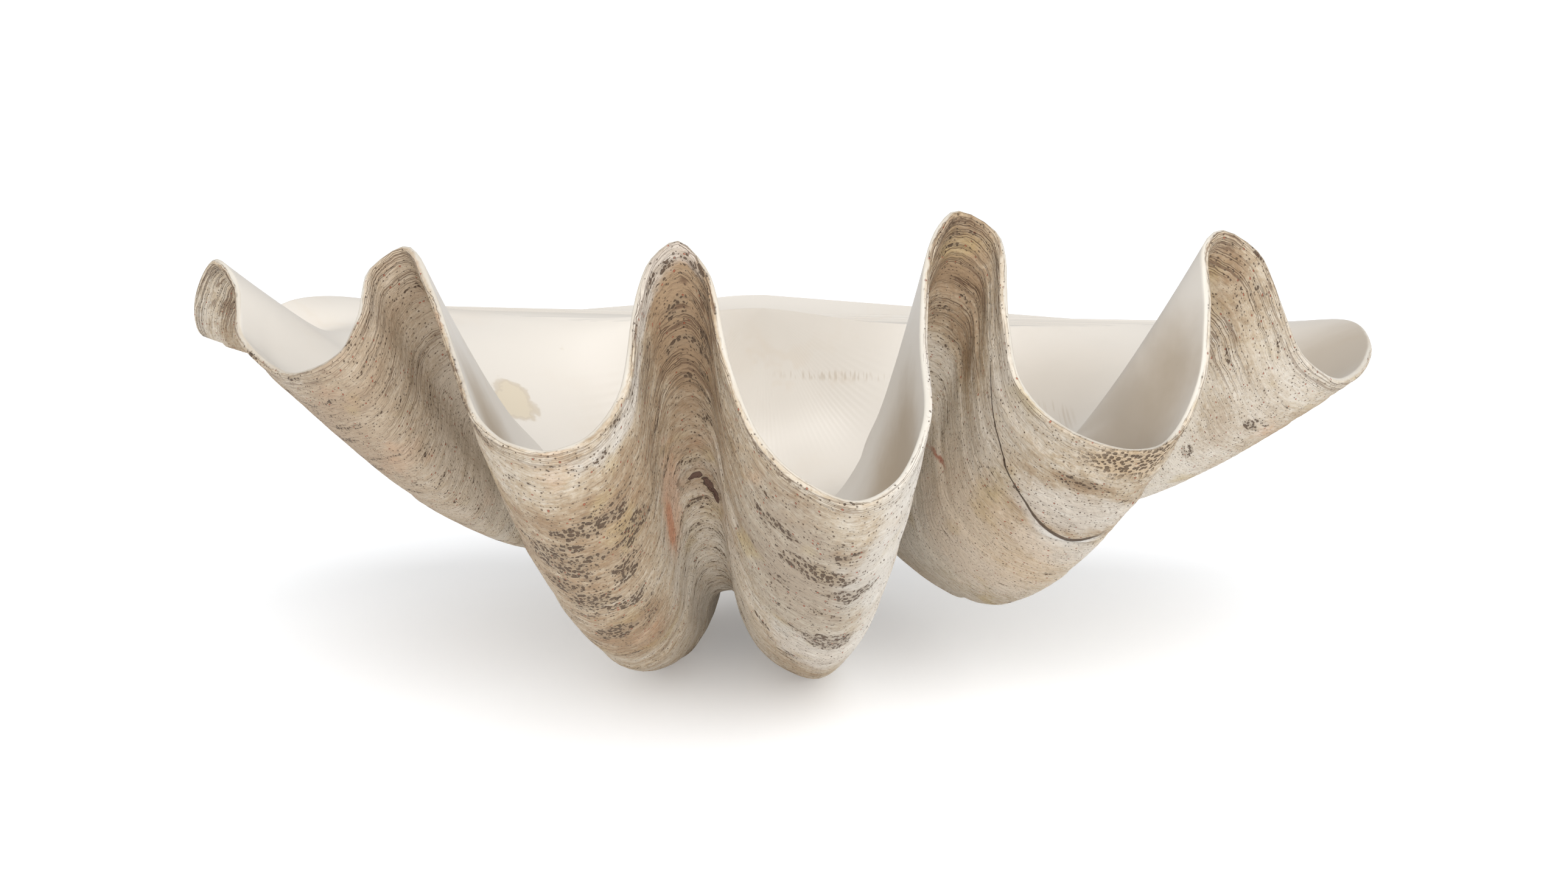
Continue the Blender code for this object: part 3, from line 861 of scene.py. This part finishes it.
rim_streaks = (lines - 0.5) * 0.9 + (ragged - 0.5) * 0.9
rim = mix((brownness * 0.6 + rim_streaks).step(0.0, 0.9) * 0.60, RIM_LIME, SAND)
rim = rim.tint(LINE_BROWN, stained * 0.35)
porous = joined(POROUS_EDGES) * (ragged + (grain - 0.5) * 0.8).step(0.46, 0.60)
colour = mix(outside, rim, outer).tint(PORE_BROWN, porous * 0.65).tint(inner, inside)
rough = RIM_ROUGHNESS - inside * HOLLOW_SMOOTHER + outside * OUTSIDE_ROUGHER
relief = (
    outside * (
        ((bands - 0.5) * BAND_SWELL + (lines - 0.5) * LINE_SWELL + (hairs - 0.5) * HAIR_SWELL) * calm
        + (ragged - 0.5) * WORN_SWELL - rim_line * RIM_LINE_DEPTH
        + (grain - 0.5) * GRAIN_SWELL - bore * BORE_DEPTH - prick * PRICK_DEPTH
        - dark_line * DARK_LINE_DEPTH - dashes * DASH_DEPTH - crack * CRACK_DEPTH - crack_side * CRACK_STEP
        - cavity * CAVITY_DEPTH - cavity_mouth * MOUTH_DEPTH - cell_holes * CELL_DEPTH)
    + inside * (cloud(14.0, 2.0) - 0.5) * HOLLOW_SWELL)
normal = start.node("ShaderNodeBump", {}, {"Strength": 1.0, "Distance": 1.0, "Height": relief})
skin.node_tree.links.new(colour.socket, surface.inputs["Base Color"])
skin.node_tree.links.new(rough.socket, surface.inputs["Roughness"])
skin.node_tree.links.new(normal.socket, surface.inputs["Normal"])
mesh.materials.append(skin)
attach(shell, "root")
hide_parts("giant_clam_half_shell")

# The floor: a plain white sheet of paper, wide enough to fill the view behind the shell.
FLOOR_SIDE = 24.0
FLOOR_WHITE = (0.88, 0.895, 0.915, 1.0)
FLOOR_GLOW = 0.20
FLOOR_ROUGHNESS = 0.9

paper = bmesh.new()
bmesh.ops.create_grid(paper, x_segments=1, y_segments=1, size=FLOOR_SIDE / 2)
floor_mesh = bpy.data.meshes.new("paper_floor")
paper.to_mesh(floor_mesh)
paper.free()
floor = bpy.data.objects.new("paper_floor", floor_mesh)
bpy.context.scene.collection.objects.link(floor)
floor_paper = bpy.data.materials.new("white_paper")
floor_paper.use_nodes = True
paper_surface = floor_paper.node_tree.nodes["Principled BSDF"]
paper_surface.inputs["Base Color"].default_value = FLOOR_WHITE
paper_surface.inputs["Roughness"].default_value = FLOOR_ROUGHNESS
paper_surface.inputs["Emission Color"].default_value = (1.0, 1.0, 1.0, 1.0)
paper_surface.inputs["Emission Strength"].default_value = FLOOR_GLOW
floor_mesh.materials.append(floor_paper)

# Light: a wide soft lamp far above the front, which shines the same everywhere, and a pale room.
ROOM_LIGHT = 0.62
ROOM_COLOUR = (1.0, 1.0, 1.0, 1.0)
LAMP_PLACE = (0.5, -2.6, 2.3)
LAMP_TARGET = (0.0, 0.0, 0.0)
LAMP_SPREAD = math.radians(80.0)
LAMP_STRENGTH = 3.3


def aim(item, place, target):
    """Stand an item at a place and turn its -Z to the target."""
    away = np.array(place) - np.array(target)
    item.location = place
    item.rotation_euler = (
        math.atan2(math.hypot(away[0], away[1]), away[2]), 0.0, math.atan2(away[0], -away[1]))


lamp = bpy.data.lights.new("soft_lamp", "SUN")
lamp.angle = LAMP_SPREAD
lamp.energy = LAMP_STRENGTH
lamp_object = bpy.data.objects.new("soft_lamp", lamp)
aim(lamp_object, LAMP_PLACE, LAMP_TARGET)
bpy.context.scene.collection.objects.link(lamp_object)

world = bpy.data.worlds.new("pale_room")
world.use_nodes = True
room = world.node_tree.nodes["Background"]
room.inputs["Color"].default_value = ROOM_COLOUR
room.inputs["Strength"].default_value = ROOM_LIGHT
bpy.context.scene.world = world
bpy.context.scene.view_settings.view_transform = "Standard"

# The camera: a little above the shell, in front of it, looking down by 15 degrees.
CAMERA_TARGET = (0.0014, 0.0658, 0.1681)
CAMERA_DISTANCE = 2.4
CAMERA_PITCH = math.radians(15.0)
CAMERA_LENS = 75.0
SENSOR_WIDTH = 36.0
FARTHEST_SEEN = 100.0

camera = bpy.data.cameras.new("front_view")
camera.lens = CAMERA_LENS
camera.sensor_width = SENSOR_WIDTH
camera.clip_end = FARTHEST_SEEN
camera_object = bpy.data.objects.new("front_view", camera)
camera_place = (
    CAMERA_TARGET[0],
    CAMERA_TARGET[1] - CAMERA_DISTANCE * math.cos(CAMERA_PITCH),
    CAMERA_TARGET[2] + CAMERA_DISTANCE * math.sin(CAMERA_PITCH),
)
aim(camera_object, camera_place, CAMERA_TARGET)
bpy.context.scene.collection.objects.link(camera_object)
bpy.context.scene.camera = camera_object
